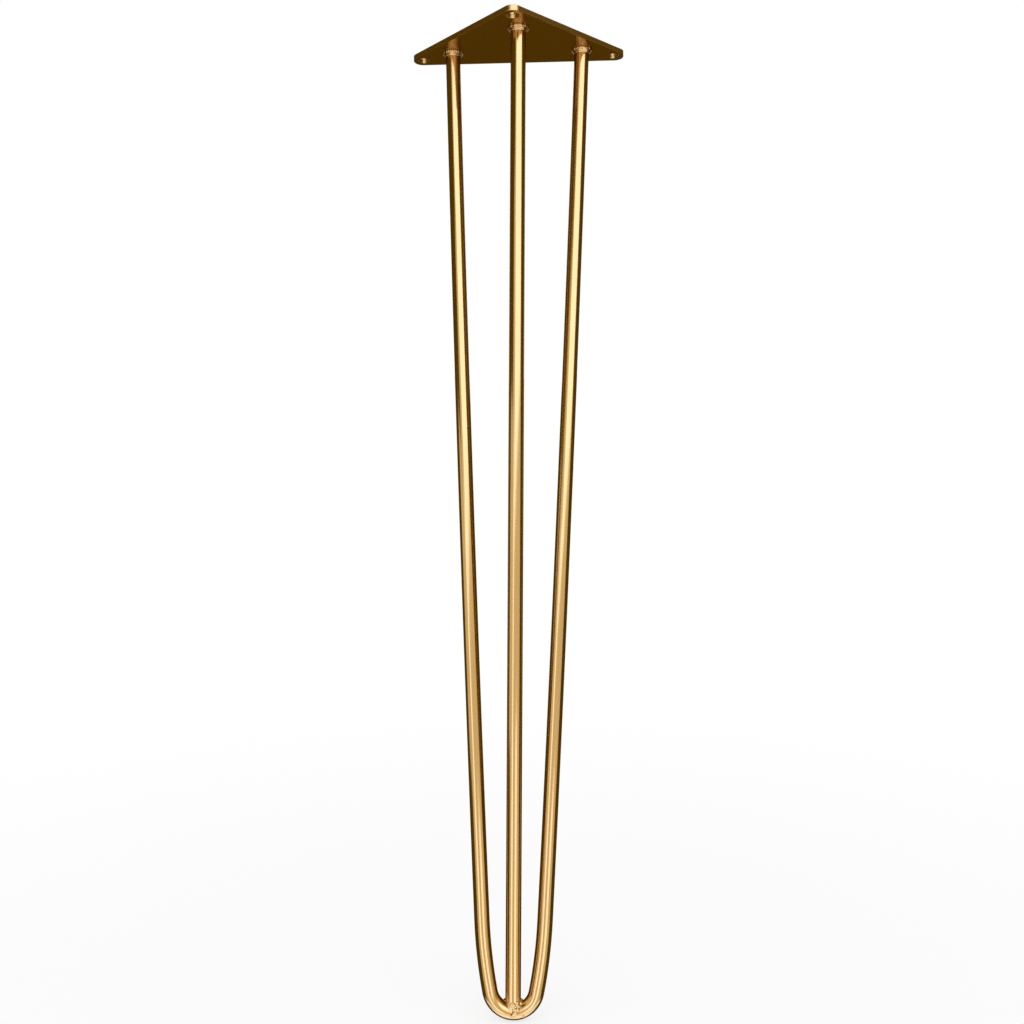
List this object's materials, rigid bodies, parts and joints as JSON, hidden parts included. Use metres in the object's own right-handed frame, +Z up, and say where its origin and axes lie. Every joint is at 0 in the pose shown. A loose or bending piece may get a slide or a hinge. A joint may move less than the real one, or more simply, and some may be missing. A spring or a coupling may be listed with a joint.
{
  "type": "hairpin table leg",
  "caption": "Hairpin table leg: a narrow U of round steel bar and a straight middle bar, welded under a triangular plate with countersunk screw holes, in a satin gold coat.",
  "frame": {"origin": "middle of the mounting plate's upper face, the face that meets the table", "axes": "+Z up, out of the upper face; -Y towards the plate's square corner, the side to which the foot leans; +X along the plate's long edge"},
  "size_m": [0.1622, 0.0977, 0.7109],
  "materials": {
    "plate_coat": "satin metallic gold coat on flat steel",
    "rod_coat": "satin metallic gold coat on drawn round bar",
    "weld_coat": "satin metallic gold coat over uneven weld beads"
  },
  "bodies": {
    "root": {"mounting_plate": "plate_coat", "hairpin_rod": "rod_coat", "centre_rod": "rod_coat", "left_rod_weld": "weld_coat", "right_rod_weld": "weld_coat", "centre_rod_weld": "weld_coat", "foot_weld": "weld_coat"}
  },
  "joints": []
}
